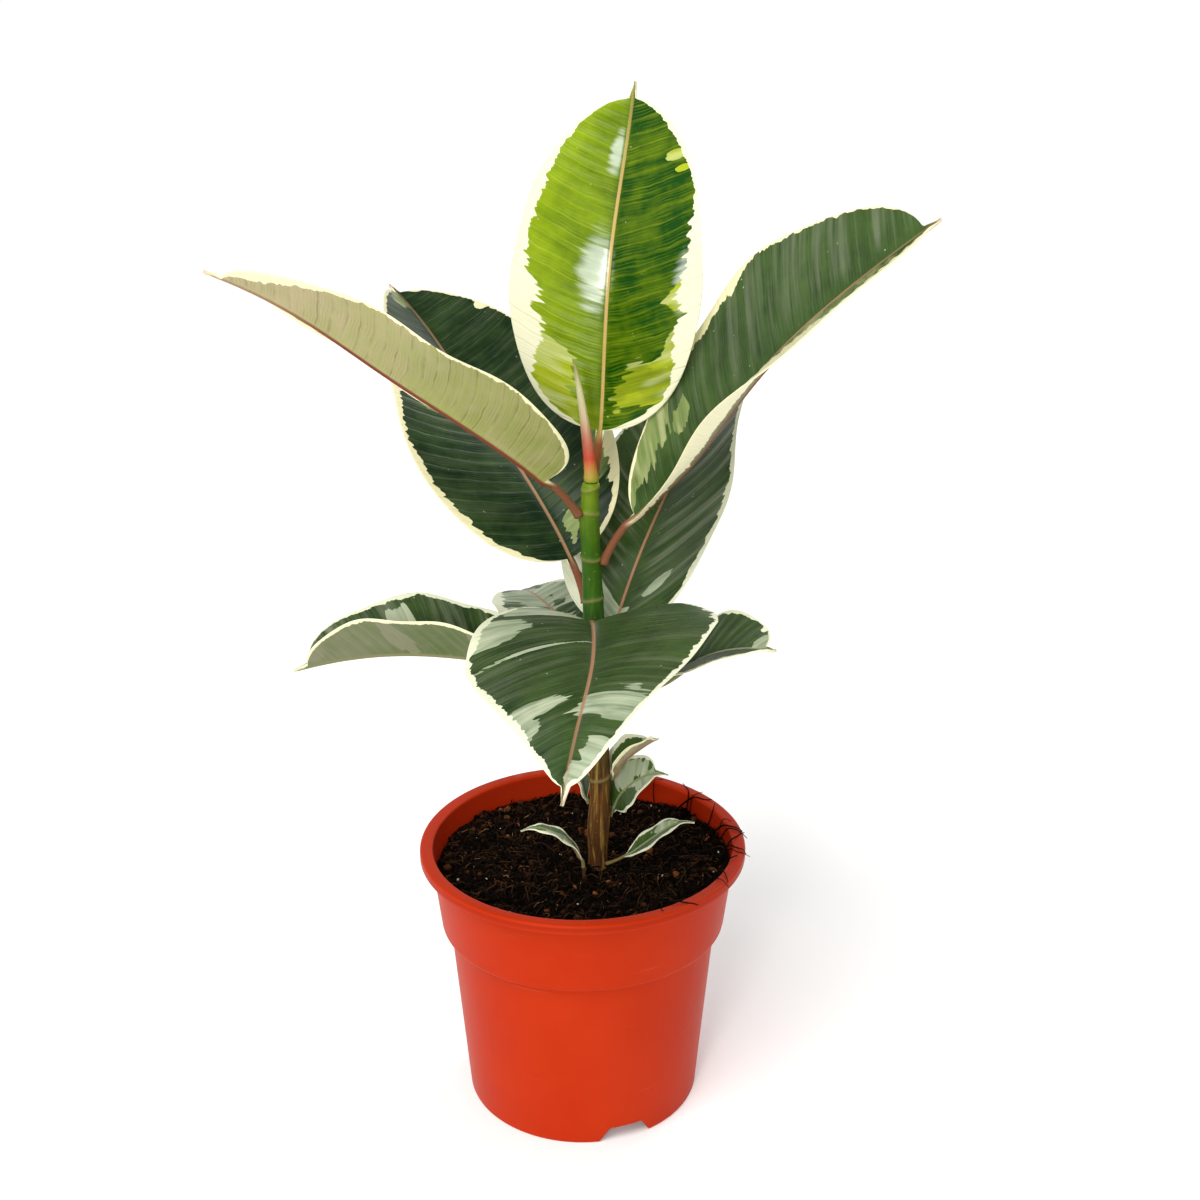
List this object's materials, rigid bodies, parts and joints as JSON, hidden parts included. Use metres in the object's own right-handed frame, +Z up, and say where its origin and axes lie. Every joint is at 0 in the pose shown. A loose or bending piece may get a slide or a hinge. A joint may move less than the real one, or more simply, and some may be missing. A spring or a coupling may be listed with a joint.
{
  "type": "potted rubber plant",
  "caption": "Young variegated rubber fig with large oval leaves up one upright stem, in a tapered round plastic nursery pot filled with potting soil.",
  "frame": {"origin": "the pot's axis where it meets the surface the pot stands on, in the middle of the standing face", "axes": "+Z up along the pot's axis, -Y towards the side seen from the front, where the front leaf hangs over the rim, +X to the right seen from there"},
  "size_m": [0.3095, 0.3294, 0.5217],
  "materials": {
    "pot_plastic": "satin",
    "potting_soil": "matte",
    "stem_bark": "matte",
    "bud_skin": "satin",
    "young_leaf": "gloss",
    "grown_leaf": "satin",
    "shoot_bark": "matte"
  },
  "bodies": {
    "root": {"pot": "pot_plastic", "soil": "potting_soil", "stem": "stem_bark", "bud_sheath": "bud_skin", "side_shoot": "shoot_bark", "leaf_top": "young_leaf", "leaf_left_raised": "grown_leaf", "leaf_right_raised": "grown_leaf", "leaf_back_left": "grown_leaf", "leaf_front": "grown_leaf", "leaf_back_right": "grown_leaf", "leaf_low_left": "grown_leaf", "leaf_low_right": "grown_leaf", "leaf_rear": "grown_leaf", "small_leaf_right": "grown_leaf", "small_leaf_back": "grown_leaf", "small_leaf_left": "grown_leaf", "base_leaf_right": "grown_leaf", "base_leaf_left": "grown_leaf"}
  },
  "joints": []
}
